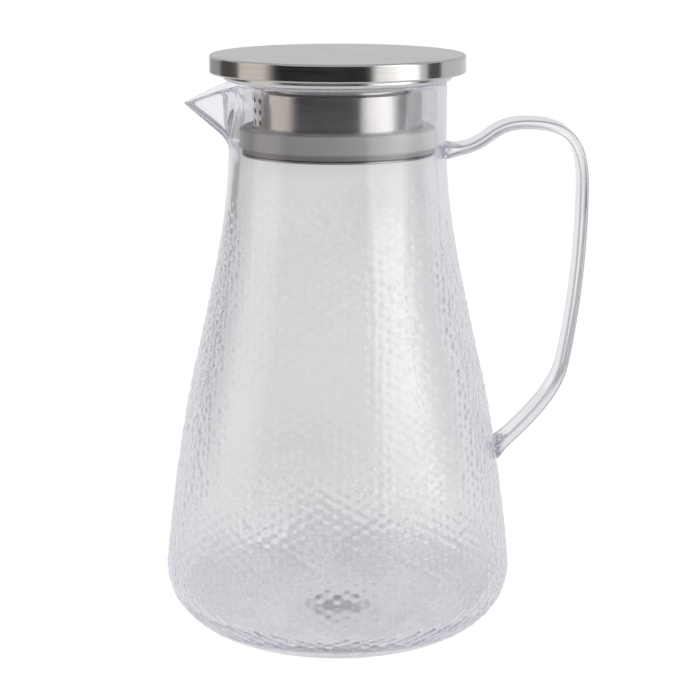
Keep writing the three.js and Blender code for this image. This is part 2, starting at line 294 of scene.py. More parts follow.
def paper_through_jug(tree, ray):
    """The colour of the paper for rays that look straight through the jug."""
    place = split(tree, object_place(tree))
    spots = (ORIGIN, BRIGHT_SPOT, SHADE_SPOT)
    from_jug, from_bright, from_shade = (distance_from(tree, spot) for spot in spots)
    bearing = maths(tree, "ARCTAN2", place["X"], place["Y"])
    growing = add(tree, "CombineXYZ", X=maths(tree, "LOGARITHM", from_jug, math.e), Y=bearing).outputs[0]
    mottle = ease(tree, noise(tree, growing, MOTTLE_SCALE, MOTTLE_DETAIL), *MOTTLE_SPAN)
    near = fade(tree, from_shade, *NEAR_SPAN)
    dull = mix(tree, near, FLOOR_DULL, FLOOR_NEAR_DULL)
    bright = mix(tree, near, FLOOR_BRIGHT, FLOOR_NEAR_BRIGHT)
    colour = mix(tree, mottle, dull, bright)
    colour = mix(tree, ease(tree, from_bright, *FAR_SPAN), colour, FLOOR_FAR)
    colour = mix(tree, ease(tree, from_bright, *BEYOND_SPAN), colour, FLOOR_BEYOND)
    aside = maths(tree, "ABSOLUTE", bearing)
    on_flag = times(tree, ease(tree, aside, *FLAG_STARTS), fade(tree, aside, *FLAG_ENDS))
    on_flag = times(tree, on_flag, ease(tree, from_jug, *FLAG_DISTANCE))
    on_flag = times(tree, on_flag, only_bent(tree, ray, BOTH_WALLS_DEPTH, "Diffuse Depth"))
    colour = mix(tree, on_flag, colour, FLAG_GREY)
    shade = mix(tree, mottle, FLOOR_SHADE_DULL, FLOOR_SHADE)
    return mix(tree, fade(tree, from_shade, *SHADE_SPAN), colour, shade)


paper, paper_light = glow("lit_paper", FLOOR_BRIGHT)
paper_tree = paper.node_tree
paper_ray = add(paper_tree, "LightPath").outputs
behind_jug = paper_through_jug(paper_tree, paper_ray)
paper_seen = mix(paper_tree, straight_through(paper_tree, paper_ray), FLOOR_MIRRORED, behind_jug)
paper_seen = mix(paper_tree, paper_ray["Is Camera Ray"], paper_seen, PAPER_WHITE)
fill(paper_tree, paper_light, Color=paper_seen)
floor_corners = np.array(((-1, -1, 0), (1, -1, 0), (1, 1, 0), (-1, 1, 0))) * FLOOR_HALF
floor = shape("floor", floor_corners + (0.0, 0.0, FLOOR_DROP), [(0, 1, 2, 3)])
floor.data.materials.append(paper)
print("floor half width in mm:", FLOOR_HALF)

# %% [markdown]
# Polished metal looks like what stands round it, so the stripes on the lid tell where the lamps were: a
# tall soft box to the right of the camera, a weaker warm panel to the left, and black cards between them.
# A picture of a studio could surround the scene, but curved sheets about the jug's axis, each placed by
# its bearing from the camera, can be moved until a stripe fits. Only bounced rays see the sheets.

# %% Helpers for studio sheets
SHEET_STEPS = 12
ONE_WALL_DEPTH, ONE_WALL_SLACK = 2.0, 1.5


def studio_sheet(name, material, distance, low, high):
    """A curved sheet. Its low and high edges are each given as left bearing, right bearing and height."""
    points = []
    for step in range(SHEET_STEPS + 1):
        for left, right, height in (low, high):
            bearing = math.radians(left + (right - left) * step / SHEET_STEPS)
            points.append((distance * math.sin(bearing), -distance * math.cos(bearing), height))
    faces = [(2 * i, 2 * i + 2, 2 * i + 3, 2 * i + 1) for i in range(SHEET_STEPS)]
    sheet = shape(name, points, faces)
    sheet.data.materials.append(material)
    sheet.visible_camera = False


def reflected_glow(name, colour, strength=1.0, in_mirrors=1.0, in_walls=None):
    """A glow that lights dull faces and, unless in_mirrors is zero, shows in mirrors.

    The colour in_walls is what a ray sees that was turned round inside one clear wall.
    """
    material, light = glow(name, colour, strength)
    tree = material.node_tree
    ray = add(tree, "LightPath").outputs
    mirrored = times(tree, ray["Glossy Depth"], in_mirrors)
    bounced = maths(tree, "ADD", mirrored, ray["Diffuse Depth"])
    if in_walls:
        one_wall = maths(tree, "COMPARE", ray["Transmission Depth"], ONE_WALL_DEPTH, ONE_WALL_SLACK)
        fill(tree, light, Color=mix(tree, one_wall, colour, in_walls))
    mixer = add(tree, "MixShader", Fac=maths(tree, "GREATER_THAN", bounced, NO_DEPTH_YET))
    tree.links.new(add(tree, "BsdfTransparent").outputs[0], mixer.inputs[1])
    tree.links.new(light.outputs[0], mixer.inputs[2])
    tree.links.new(mixer.outputs[0], tree.nodes["Material Output"].inputs["Surface"])
    return material


def grade(material, axis, low, high, first, last):
    """Multiplies a glow by what runs from first to last while a coordinate runs from low to high."""
    tree = material.node_tree
    place = split(tree, object_place(tree))
    strength = tree.nodes["Emission"].inputs["Strength"]
    before = strength.links[0].from_socket if strength.is_linked else strength.default_value
    feed(tree, strength, times(tree, ease(tree, place[axis], low, high, first, last), before))


print("steps in a sheet:", SHEET_STEPS)

# %% [markdown]
# The soft box is two sheets, graded so that it is brightest at their join, because an evenly lit one
# would leave the steel flat. Two fill panels light dull faces only. The cards are black in the steel, but
# grey to a ray that is turned round inside one wall, because they would draw black bars in the handle. A
# grey wing stands behind on the left.

# %% Stand the soft boxes and cards round the jug
SOFT_WHITE = (1.0, 0.985, 0.965)
CARD_INSIDE = (0.24, 0.235, 0.26)
BOX_ACROSS = (-1.0, -0.6, 0.8, 1.15)

box_low = reflected_glow("soft_box_light", SOFT_WHITE)
grade(box_low, "Z", 0.12, 0.34, 1.75, 2.9)
grade(box_low, "Y", *BOX_ACROSS)
box_high = reflected_glow("soft_box_top", SOFT_WHITE)
grade(box_high, "Z", 0.43, 0.7, 2.9, 2.2)
grade(box_high, "Y", *BOX_ACROSS)
fill_light = reflected_glow("fill_light", (1.0, 0.99, 0.98), strength=11.0, in_mirrors=0.0)
weak_fill = reflected_glow("weak_fill_light", (1.0, 0.97, 0.95), strength=0.7, in_mirrors=0.0)
warm_light = reflected_glow("warm_panel_light", (1.0, 0.90, 0.81))
grade(warm_light, "Y", -0.735, -0.44, 0.03, 0.98)
card_black = reflected_glow("card_black", (0.012, 0.011, 0.012), in_walls=CARD_INSIDE)
card_grey = reflected_glow("card_grey", (0.10, 0.092, 0.084), in_walls=CARD_INSIDE)
wing_grey = reflected_glow("wing_grey", (0.42, 0.41, 0.41))
studio_sheet("soft_box_low", box_low, 1250, (33, 79, 0), (35, 68, 430))
studio_sheet("soft_box_high", box_high, 1250, (35, 68, 430), (35, 66, 1100))
studio_sheet("fill_panel", fill_light, 1300, (72, 130, 0), (72, 130, 900))
studio_sheet("weak_fill_panel", weak_fill, 1100, (-110, 0, 0), (-110, 0, 900))
studio_sheet("warm_panel", warm_light, 1250, (-94, -54, 0), (-94, -54, 900))
studio_sheet("front_card", card_black, 1150, (-54, 30, 0), (-54, 30, 520))
studio_sheet("left_wing", wing_grey, 1150, (-159, -126, 70), (-159, -126, 200))
studio_sheet("left_card", card_grey, 1150, (-126, -97, 0), (-126, -97, 520))
studio_sheet("right_card", card_grey, 1150, (85, 103, 0), (85, 103, 520))

# %% [markdown]
# ## Shared finishes
# Sheet steel is brushed while it spins, which leaves fine lines round the axis. An anisotropic shader
# could stretch the highlights, but it has no lines to see. Here noise is stretched a long way round and
# hardly at all across, and it changes the colour, the roughness and the height a little, line by line.
# Several pieces share it, so it is a node group that is built once.

# %% Build the brushing group
STROKE_SHARE, SHINE_SPAN = 0.75, (0.3, 0.7)
STROKE_SCALE, STROKE_DETAIL, STROKE_ROUGHNESS = 1.0, 4.0, 0.65
CLOUD_SCALE, CLOUD_DETAIL = 60.0, 3.0
NUMBER, COLOUR = "NodeSocketFloat", "NodeSocketColor"


def new_group(name, numbers, colours, tint):
    """A node group with these inputs, and its two ends. It gives a tint, a roughness and a height."""
    group = bpy.data.node_groups.new(name, "ShaderNodeTree")
    inputs = [(label, NUMBER) for label in numbers] + [(label, COLOUR) for label in colours]
    outputs = [(tint, COLOUR), ("Roughness", NUMBER), ("Height", NUMBER)]
    for way, sockets in (("INPUT", inputs), ("OUTPUT", outputs)):
        for label, kind in sockets:
            group.interface.new_socket(label, in_out=way, socket_type=kind)
    return group, group.nodes.new("NodeGroupInput").outputs, group.nodes.new("NodeGroupOutput")


brushing, brush_in, brush_out = new_group(
    "brushing", ("Lines per metre", "Stretch", "Smoothest", "Roughest"), ("Bright", "Dull"), "Colour"
)
brush_place = split(brushing, object_place(brushing))
around = maths(brushing, "ARCTAN2", brush_place["Y"], brush_place["X"])
along_round = times(brushing, around, brush_in["Stretch"])
across = times(brushing, off_axis(brushing, brush_place), brush_in["Lines per metre"])
upwards = times(brushing, brush_place["Z"], brush_in["Lines per metre"])
lines = add(brushing, "CombineXYZ", X=along_round, Y=across, Z=upwards).outputs[0]
strokes = noise(brushing, lines, STROKE_SCALE, STROKE_DETAIL, STROKE_ROUGHNESS)
clouds = noise(brushing, object_place(brushing), CLOUD_SCALE, CLOUD_DETAIL)
stroke_part = times(brushing, strokes, STROKE_SHARE)
cloud_part = times(brushing, clouds, 1.0 - STROKE_SHARE)
shine = ease(brushing, maths(brushing, "ADD", stroke_part, cloud_part), *SHINE_SPAN)
shine_roughness = ease(brushing, shine, 0.0, 1.0, brush_in["Roughest"], brush_in["Smoothest"])
shine_colour = mix(brushing, shine, brush_in["Dull"], brush_in["Bright"])
fill(brushing, brush_out, Colour=shine_colour, Roughness=shine_roughness, Height=strokes)
print("group:", brushing.name, "with", len(brushing.nodes), "nodes")

# %% [markdown]
# Fingers and cloths leave faint clouds on a polished face. They could be painted, but soft noise needs no
# image and fits every piece. Where the cloud is dense, the tint is a little darker and the surface a
# little rougher.

# %% Build the handling marks group
SMEAR_DETAIL, SMEAR_ROUGHNESS, SMEAR_SPAN = 4.0, 0.55, (0.42, 0.72)
FINER, FINER_DETAIL = 2.0, 2.0

handling, hand_in, hand_out = new_group(
    "handling_marks", ("Cloud scale", "Clean", "Smeared"), ("Clear tint", "Cloudy tint"), "Tint"
)
hand_place = object_place(handling)
smears = noise(handling, hand_place, hand_in["Cloud scale"], SMEAR_DETAIL, SMEAR_ROUGHNESS)
smears = ease(handling, smears, *SMEAR_SPAN)
smear_tint = mix(handling, smears, hand_in["Clear tint"], hand_in["Cloudy tint"])
smear_roughness = ease(handling, smears, 0.0, 1.0, hand_in["Clean"], hand_in["Smeared"])
finer = noise(handling, hand_place, times(handling, hand_in["Cloud scale"], FINER), FINER_DETAIL)
fill(handling, hand_out, Tint=smear_tint, Roughness=smear_roughness, Height=finer)
print("group:", handling.name, "with", len(handling.nodes), "nodes")

# %% [markdown]
# ## Clear acrylic
# Acrylic is as clear as glass but a little softer in its gloss, and it bends light slightly less: its
# index is 1.49. A Glass shader could make it, but a Principled shader with full transmission is the one
# that other tools read best. Its tint colours each surface that a ray crosses, and a Volume Absorption
# node colours the way in between, so thick edges gather a trace of violet.

# %% Mix the acrylic
ACRYLIC_INDEX = 1.49
ACRYLIC_DEPTH_COLOUR = (0.50, 0.46, 0.72)
ACRYLIC_CLOUD_SCALE = 22.0


def new_finish(name):
    """A material with one Principled shader, its tree and that shader."""
    material = bpy.data.materials.new(name)
    material.use_nodes = True
    tree = material.node_tree
    return material, tree, tree.nodes["Principled BSDF"]


def use_group(tree, group, **values):
    """Places a group in a tree, sets its inputs and returns its outputs."""
    node = add(tree, "Group")
    node.node_tree = group
    fill(tree, node, **values)
    return node.outputs


def acrylic(name, clear, cloudy, clean, smeared, depth):
    """A clear finish, its tree, its shader and its handling marks."""
    material, tree, shader = new_finish(name)
    tints = {"Clear_tint": clear, "Cloudy_tint": cloudy}
    marks = use_group(tree, handling, Cloud_scale=ACRYLIC_CLOUD_SCALE, Clean=clean, Smeared=smeared, **tints)
    fill(tree, shader, IOR=ACRYLIC_INDEX, Transmission_Weight=1.0, Roughness=marks["Roughness"])
    inner = add(tree, "VolumeAbsorption", Color=ACRYLIC_DEPTH_COLOUR, Density=depth)
    tree.links.new(inner.outputs[0], tree.nodes["Material Output"].inputs["Volume"])
    return material, tree, shader, marks


print("index of acrylic:", ACRYLIC_INDEX)

# %% [markdown]
# The beak of the jug is drawn thin, so it is clearer than the rest of the wall. A dark line is painted
# along its keel: painted shade, for the shade that the fold of a clear keel shows. The neck is a little
# darker than the body, and the middle of the floor has a dull moulding mark. Separate materials would end
# in hard borders, so one tree fades these tints into each other by place. Only the flat underside, which
# is scuffed from standing on tables and has a gate mark in its middle, has its own.

# %% Tint the wall and the underside
# The keel's tint is painted shade: a dark line where the fold of clear acrylic shows shade.
BEAK_TINT, KEEL_SHADE = (0.985, 0.98, 0.995), (0.2, 0.19, 0.235)
NECK_TINT = (0.80, 0.798, 0.81)
FLOOR_MARK_TINT, GATE_MARK_TINT = (0.34, 0.34, 0.344), (0.5, 0.5, 0.505)
BEAK_BEARINGS = np.radians((27, 34)).tolist()
BEAK_HEIGHTS, NECK_HEIGHTS = (0.200, 0.206), (0.192, 0.204)
KEEL_SHADE_HALF_WIDTH = (0.0014, 0.0023)
FLOOR_MARK_RADII, GATE_MARK_RADII = (0.005, 0.02), (0.003, 0.016)


def wall_finish():
    material, tree, shader, marks = acrylic(
        "body_acrylic", (0.890, 0.888, 0.898), (0.880, 0.878, 0.889), clean=0.01, smeared=0.05, depth=0.9
    )
    place = split(tree, object_place(tree))
    off_keel = maths(tree, "ABSOLUTE", place["Y"])
    off_spout = maths(tree, "ARCTAN2", off_keel, times(tree, place["X"], -1.0))
    towards_spout = fade(tree, off_spout, *BEAK_BEARINGS)
    in_beak = times(tree, towards_spout, ease(tree, place["Z"], *BEAK_HEIGHTS))
    # The beak is clearer, with painted shade as a dark line along its keel.
    beak = mix(tree, fade(tree, off_keel, *KEEL_SHADE_HALF_WIDTH), BEAK_TINT, KEEL_SHADE)
    wall = mix(tree, ease(tree, place["Z"], *NECK_HEIGHTS), marks["Tint"], NECK_TINT)
    wall = mix(tree, fade(tree, off_axis(tree, place), *FLOOR_MARK_RADII), wall, FLOOR_MARK_TINT)
    fill(tree, shader, Base_Color=mix(tree, in_beak, wall, beak))
    return material


def underside_finish():
    material, tree, shader, marks = acrylic(
        "scuffed_acrylic", (0.93, 0.93, 0.94), (0.90, 0.90, 0.91), clean=0.04, smeared=0.2, depth=0.9
    )
    in_gate_mark = fade(tree, distance_from(tree, ORIGIN), *GATE_MARK_RADII)
    fill(tree, shader, Base_Color=mix(tree, in_gate_mark, marks["Tint"], GATE_MARK_TINT))
    return material


body_acrylic = wall_finish()
scuffed_acrylic = underside_finish()
print("acrylic for the jug:", body_acrylic.name, scuffed_acrylic.name)

# %% [markdown]
# The handle is clearer still. Thin dark lines are painted along its rounded corners as painted shade, for
# the shade that the edges of a clear strap show, and its two roots show the crackled bond. Places alone
# can't tell the corners of a bent strap, so they are written on the mesh later, as one number per vertex,
# and an Attribute node reads them here. A Voronoi texture gives the cracks: their tint is strongest close
# to the borders of its cells.

# %% Tint the handle
# The corner tint is painted shade: thin dark lines along the strap's rounded corners.
CORNER_SHADE, BOND_TINT = (0.19, 0.185, 0.21), (0.34, 0.32, 0.46)
CRACK_SCALE, CRACK_SPAN = 650.0, (0.04, 0.3)
BETWEEN_CRACKS, BOND_ROUGHNESS = 0.25, 0.3


def mesh_number(tree, name):
    node = add(tree, "Attribute")
    node.attribute_name = name
    return node.outputs["Fac"]


def strap_finish():
    material, tree, shader, marks = acrylic(
        "handle_acrylic", (0.975, 0.972, 0.99), (0.955, 0.95, 0.98), clean=0.005, smeared=0.03, depth=0.15
    )
    cells = add(tree, "TexVoronoi", Scale=CRACK_SCALE, Vector=object_place(tree))
    cells.feature = "DISTANCE_TO_EDGE"
    cracks = ease(tree, cells.outputs["Distance"], *CRACK_SPAN, 1.0, BETWEEN_CRACKS)
    cracked = times(tree, mesh_number(tree, "bond"), cracks)
    # Painted shade: the corners of the strap are darkened by the corner numbers.
    tint = mix(tree, mesh_number(tree, "corner"), marks["Tint"], CORNER_SHADE)
    rougher = times(tree, cracked, BOND_ROUGHNESS)
    roughness = maths(tree, "ADD", marks["Roughness"], rougher)
    fill(tree, shader, Base_Color=mix(tree, cracked, tint, BOND_TINT), Roughness=roughness)
    return material


handle_acrylic = strap_finish()
print("acrylic for the handle:", handle_acrylic.name)

# %% [markdown]
# ## The side of the jug
# The flask is a body of revolution, so its side is one line: a rounded foot, a full belly, a long cone
# and a shoulder that runs into a straight neck. A curve object could be spun with a Screw modifier, but
# the bumps and the spout need the points of every ring. So three Bezier curves give the line as numbers,
# and the inside is the same line moved in by the wall's thickness.

# %% Draw the side line
JUG_HEIGHT, RIM_ROUND = 229.5, 1.2
NECK_RADIUS, NECK_LENGTH = 44.4, 24.6
CONE_RADIUS, CONE_HEIGHT, CONE_TAPER = 59.7, 109.8, 0.24
BELLY_RADIUS, BELLY_HEIGHT, BASE_RADIUS = 72.13, 26.0, 48.0
WALL, FLOOR = 4.0, 5.5
LINE_STEPS = 240
# How far each curve runs straight on from its start and straight in to its end.
FOOT_LEADS, LOWER_LEADS, UPPER_LEADS = (5.0, 17.0), (9.4, 26.0), (48.0, 24.5)


def bezier(start, lead, arrive, end):
    """Points of a curve that leaves start towards lead and reaches end from arrive."""
    t = np.linspace(0.0, 1.0, LINE_STEPS + 1)[:, None]
    a, b, c, d = (np.array(place, float) for place in (start, lead, arrive, end))
    return (1 - t) ** 3 * a + 3 * (1 - t) ** 2 * t * b + 3 * (1 - t) * t**2 * c + t**3 * d


def side_line(inset, floor_height):
    base = np.array((BASE_RADIUS - inset, floor_height))
    belly = np.array((BELLY_RADIUS - inset, BELLY_HEIGHT))
    cone = np.array((CONE_RADIUS - inset, CONE_HEIGHT))
    shoulder = np.array((NECK_RADIUS - inset, JUG_HEIGHT - NECK_LENGTH))
    along = np.array((-CONE_TAPER, 1.0)) / math.hypot(CONE_TAPER, 1.0)
    foot = bezier(base, base + (FOOT_LEADS[0], 0.0), belly - (0.0, FOOT_LEADS[1]), belly)
    lower = bezier(belly, belly + (0.0, LOWER_LEADS[0]), cone - LOWER_LEADS[1] * along, cone)
    upper = bezier(cone, cone + UPPER_LEADS[0] * along, shoulder - (0.0, UPPER_LEADS[1]), shoulder)
    return np.concatenate((foot, lower[1:], upper[1:]))


class Line:
    """A line of radius and height that can be read at any length along it."""

    def __init__(self, points):
        self.points = points
        steps = np.hypot(*np.diff(points, axis=0).T)
        self.lengths = np.concatenate(([0.0], np.cumsum(steps)))
        self.ways = np.gradient(points, self.lengths, axis=0)

    def read(self, table, length):
        return np.stack([np.interp(length, self.lengths, column) for column in table.T])

    def at(self, length):
        return self.read(self.points, length)

    def way(self, length):
        return self.read(self.ways, length)

    def length_at_height(self, height):
        return float(np.interp(height, self.points[:, 1], self.lengths))


outside = Line(side_line(0.0, 0.0))
inside = Line(side_line(WALL, FLOOR))
print("length of the side in mm:", round(outside.lengths[-1], 1))

# %% [markdown]
# ## The hammered wall
# The outside of the wall is covered in small round bumps, packed like cells in a honeycomb and slightly
# out of order. A Voronoi texture could give cells, but not in such even rows. So the centres are laid
# ring by ring, more of them where the jug is wide, each ring half a step on from the last, and then
# nudged at random. A fixed seed makes every run give the same wall.

# %% Lay out the centres of the bumps
BUMP_SEED = 11
BUMP_PITCH = 4.2
BUMP_NUDGE = 0.32
BUMP_SPREAD = 0.25
SMALLEST_BUMP, LARGEST_BUMP = 0.5, 1.5
HAMMER_LOW, HAMMER_HIGH = 2.0, 188.0
FRONT = 0.75 * TURN


def about_axis(angle, radius, height):
    """Points about the axis. The angle runs from -X, where the spout is."""
    return np.stack(np.broadcast_arrays(-radius * np.cos(angle), radius * np.sin(angle), height), -1)


dice = np.random.default_rng(BUMP_SEED)
hammer_start, hammer_end = outside.length_at_height(HAMMER_LOW), outside.length_at_height(HAMMER_HIGH)
centres = []
for row, length in enumerate(np.arange(hammer_start, hammer_end, BUMP_PITCH / 2)):
    count = round(TURN * outside.at(length)[0] / (math.sqrt(3.0) * BUMP_PITCH))
    ring_radius, ring_height = outside.at(length + dice.normal(0.0, BUMP_NUDGE, count))
    bearing = FRONT + (np.arange(count) - count // 2 + 0.5 * (row % 2)) * TURN / count
    bearing += dice.normal(0.0, BUMP_NUDGE, count) / ring_radius
    centres.extend(about_axis(bearing, ring_radius, ring_height))
bump_sizes = np.clip(dice.normal(1.0, BUMP_SPREAD, len(centres)), SMALLEST_BUMP, LARGEST_BUMP)
bump_map = kdtree.KDTree(len(centres))
for index, centre in enumerate(centres):
    bump_map.insert(centre, index)
bump_map.balance()
print("bumps:", len(centres))

# %% [markdown]
# Each bump of the real wall is a shallow lens that bends what is seen through it. A Bump node would only
# tilt the light at the surface, so these bumps are real. Every vertex asks a k-d tree for the nearest
# centre and is raised by a dome about it. At the belly the domes are sunk until the highest crests touch
# the true outline. Towards the neck and the foot they rise as much as they sink, so no ring shows where
# they fade out.

# %% Raise the domes
BUMP_DEPTH = 0.34
DOME_MEAN = 0.36
DOME_REACH = 0.58 * BUMP_PITCH
SUNK_FROM, SUNK_TO = (4.0, 22.0), (40.0, 150.0)
HAMMER_FADES_IN, HAMMER_FADES_OUT = (HAMMER_LOW, HAMMER_LOW + 5.0), (150.0, HAMMER_HIGH)
COLUMNS = 384
HAMMER_ROWS = 190


def smooth_step(value, low, high):
    t = np.clip((value - low) / (high - low), 0.0, 1.0)
    return t * t * (3 - 2 * t)


rows = np.arange(HAMMER_ROWS)[:, None]
lengths = hammer_start + (hammer_end - hammer_start) * rows / (HAMMER_ROWS - 1)
angles = (np.arange(COLUMNS)[None, :] + 0.5 * (rows % 2)) * TURN / COLUMNS
smooth_radius, smooth_height = outside.at(lengths)
way_out, way_up = outside.way(lengths)
wall_places = about_axis(angles, smooth_radius, smooth_height)
found = [bump_map.find(place)[1:] for place in wall_places.reshape(-1, 3)]
nearest, distance = (np.array(column).reshape(angles.shape) for column in zip(*found))
dome = 0.5 + 0.5 * np.cos(math.pi * np.minimum(distance / DOME_REACH, 1.0))
dome = dome * bump_sizes[nearest.astype(int)]
sunk = smooth_step(smooth_height, *SUNK_FROM) * (1 - smooth_step(smooth_height, *SUNK_TO))
strength = smooth_step(smooth_height, *HAMMER_FADES_IN) * (1 - smooth_step(smooth_height, *HAMMER_FADES_OUT))
raised = BUMP_DEPTH * strength * (dome - DOME_MEAN - (LARGEST_BUMP - DOME_MEAN) * sunk)
bumpy_radius = smooth_radius + way_up * raised
bumpy_height = smooth_height - way_out * raised
print("vertices on the hammered wall:", angles.size)

# %% [markdown]
# ## The spout
# The spout is a beak that looks pulled out of the neck while it was soft. Sculpting brushes could pull
# it, but a rule moves the inside and the outside alike and gives the same beak every time. Seen from
# above, the lip is two straight lines that meet in a rounded tip. Below it the pull fades away along a
# sloping keel, and more softly on the flanks, and the wall thins evenly towards the tip.

# %% Pull the spout
SPOUT_REACH = 62.8
SPOUT_DROP = 9.3
SPOUT_SPREAD = math.radians(29)
SPOUT_TIP_ROUND = math.radians(4)
SPOUT_LIP_WALL = 1.6
KEEL_RUN = 1.18
KEEL_BLEND = 4.5
FLANK_SOFTNESS = 1.6
LIP_BLEND = 5.0
TINY = 1e-6


def rounded_max(value, blend):
    """The larger of zero and value, with the corner between them rounded off."""
    return np.where(value <= -blend, 0.0, np.where(value >= blend, value, (value + blend) ** 2 / (4 * blend)))


def rounded_angle(angle):
    return np.hypot(angle, SPOUT_TIP_ROUND) - SPOUT_TIP_ROUND


def lip_pull(angle, depth=0.0):
    """How far the lip is pulled at an angle from the spout. Depth is zero outside and one inside."""
    spread = rounded_angle(SPOUT_SPREAD)
    half = math.atan2(NECK_RADIUS * math.sin(spread), SPOUT_REACH - NECK_RADIUS * math.cos(spread))
    near = np.minimum(np.abs(angle), 2 * SPOUT_SPREAD)
    wall = SPOUT_LIP_WALL + (WALL - SPOUT_LIP_WALL) * np.minimum(near / SPOUT_SPREAD, 1.0)
    reach = (SPOUT_REACH * math.sin(half) - depth * wall) / np.sin(half + rounded_angle(near))
    pull = rounded_max(reach - NECK_RADIUS + depth * WALL, LIP_BLEND)
    return np.where(np.abs(angle) > 2 * SPOUT_SPREAD, 0.0, pull)


def pull_spout(angle, radius, height):
    """Radius and height of points of the wall once the beak is pulled."""
    full = SPOUT_REACH - NECK_RADIUS
    foot = JUG_HEIGHT - SPOUT_DROP - (full + KEEL_BLEND) / KEEL_RUN
    lip = lip_pull(angle)
    drop = SPOUT_DROP * lip / full
    rise = np.clip(height - foot, 0.0, None) / (JUG_HEIGHT - foot)
    lowered = height - drop * rise
    soft = KEEL_BLEND * (1.0 + FLANK_SOFTNESS * np.minimum(np.abs(angle) / SPOUT_SPREAD, 1.0) ** 2)
    pull = rounded_max(lip - KEEL_RUN * (JUG_HEIGHT - drop - lowered), soft)
    depth = np.clip((NECK_RADIUS - radius) / WALL, 0.0, 1.0)
    share = np.minimum(pull, lip) / np.maximum(lip, TINY)
    pulled = radius + share * lip_pull(angle, depth)
    return np.where(height > foot, pulled, radius), lowered


print("the tip stands out by", round(float(lip_pull(np.array(0.0))), 2), "mm")

# %% [markdown]
# ## The jug as one skin
# The jug is one moulding, and a clear wall shows every gap, so it has to be one closed skin. A Solidify
# modifier could thicken a single sheet, but not into a floor and a rim of their own shapes. So every
# piece from here on is made of rings. Rings with the same number of vertices are joined by quads.
# Hammered rows are shifted by half a step, so those are joined by triangles, and where the inside needs
# only a third of the vertices, one row of triangles makes the change.

# %% Join rings into a skin


class Skin:
    """Rings of points that are joined one after another."""

    def __init__(self):
        self.points, self.faces, self.last, self.count = [], [], None, 0

    def add(self, points, shift=0.0):
        ring = np.arange(len(points)) + self.count
        self.points.append(points)
        self.count += len(points)
        if self.last is not None:
            self.join(*self.last, ring, shift)
        self.last = (ring, shift)

    def join(self, a, shift_a, b, shift_b):
        next_a, next_b = np.roll(a, -1), np.roll(b, -1)
        if len(a) == 1:
            made = [(np.full(len(b), a[0]), b, next_b)]
        elif len(b) == 1:
            made = [(a, np.full(len(a), b[0]), next_a)]
        elif len(a) == 3 * len(b):
            one, two, three = a[0::3], a[1::3], a[2::3]
            made = [(one, b, two), (two, b, next_b), (two, next_b, three), (three, next_b, np.roll(one, -1))]
        elif len(b) == 3 * len(a):
            one, two, three = b[0::3], b[1::3], b[2::3]
            made = [(a, one, two), (a, two, next_a), (next_a, two, three), (next_a, three, np.roll(one, -1))]
        elif shift_a == shift_b:
            made = [(a, b, next_b, next_a)]
        elif shift_b > shift_a:
            made = [(a, b, next_a), (next_a, b, next_b)]
        else:
            made = [(a, b, next_b), (a, next_b, next_a)]
        for group in made:
            self.faces.extend(np.stack(group, 1).tolist())

    def build(self, name):
        return shape(name, np.concatenate(self.points), self.faces)


def wall_ring(radius, height, columns=COLUMNS, angle=None):
    """Points of the wall at one radius and height, with the spout pulled."""
    if angle is None:
        angle = np.arange(columns) * TURN / columns
    signed = (angle + math.pi) % TURN - math.pi
    radius, height = np.broadcast_to(radius, angle.shape), np.broadcast_to(height, angle.shape)
    pulled, lowered = pull_spout(signed, radius, height)
    return about_axis(angle, pulled, lowered)


def quarter(x, y, round_radius, start, steps=5):
    """Points of a quarter circle, anticlockwise from an angle in degrees."""
    turn = np.radians(start + np.linspace(0.0, 90.0, steps + 1))
    return list(zip(x + round_radius * np.cos(turn), y + round_radius * np.sin(turn)))


def between(first, last, step):
    """Even places after first and before last, about step apart."""
    count = max(2, round(abs(last - first) / step))
    return np.linspace(first, last, count + 1)[1:-1]


def fit_piece(piece, materials, body, node):
    """Gives a piece its materials, and puts it in the place of a solid."""
    for material in materials:
        piece.data.materials.append(material)
    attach(piece, body)
    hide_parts(node)
    print(piece.name, "replaces", node, "with", len(piece.data.vertices), "vertices")


print("columns on the outside:", COLUMNS)

# %% [markdown]
# The wall starts in the shallow gate mark under the base, goes up the hammered outside, over the rounded
# rim and down the smooth inside to the middle of the floor. Two walls could be made and bridged, but one
# way round leaves no seam to close. Faces that look down at the base take the scuffed finish.

# %% Raise the wall
GATE_RADIUS, GATE_DEPTH = 3.0, 0.25
INNER_COLUMNS = COLUMNS // 3
BASE_RINGS, FLOOR_RINGS = (9.0, 18.0, 28.0, 40.0), (28.0, 14.0)
SPOUT_FOOT_HEIGHT = 199.0
FOOT_STEP, SHOULDER_STEP, SPOUT_STEP, NECK_STEP, BORE_STEP, INSIDE_STEP = 1.7, 2.6, 1.5, 1.3, 1.9, 4.5
RIM_STEPS = 4
HAIR = 0.01
LOOKS_DOWN = -0.7

bore = NECK_RADIUS - WALL
neck_start = JUG_HEIGHT - NECK_LENGTH
rim_start = JUG_HEIGHT - RIM_ROUND
side_end, inner_end = outside.lengths[-1], inside.lengths[-1]
spout_foot = outside.length_at_height(SPOUT_FOOT_HEIGHT)
jug_skin = Skin()
jug_skin.add(np.array([[0.0, 0.0, GATE_DEPTH]]))
jug_skin.add(wall_ring(GATE_RADIUS, GATE_DEPTH, INNER_COLUMNS))
for ring_radius in BASE_RINGS:
    jug_skin.add(wall_ring(ring_radius, 0.0, INNER_COLUMNS))
for length in (0.0, *between(0.0, hammer_start, FOOT_STEP)):
    jug_skin.add(wall_ring(*outside.at(length)))
for row in range(HAMMER_ROWS):
    jug_skin.add(wall_ring(bumpy_radius[row], bumpy_height[row], angle=angles[row]), 0.5 * (row % 2))
shoulder_lengths = [*between(hammer_end, spout_foot, SHOULDER_STEP), spout_foot]
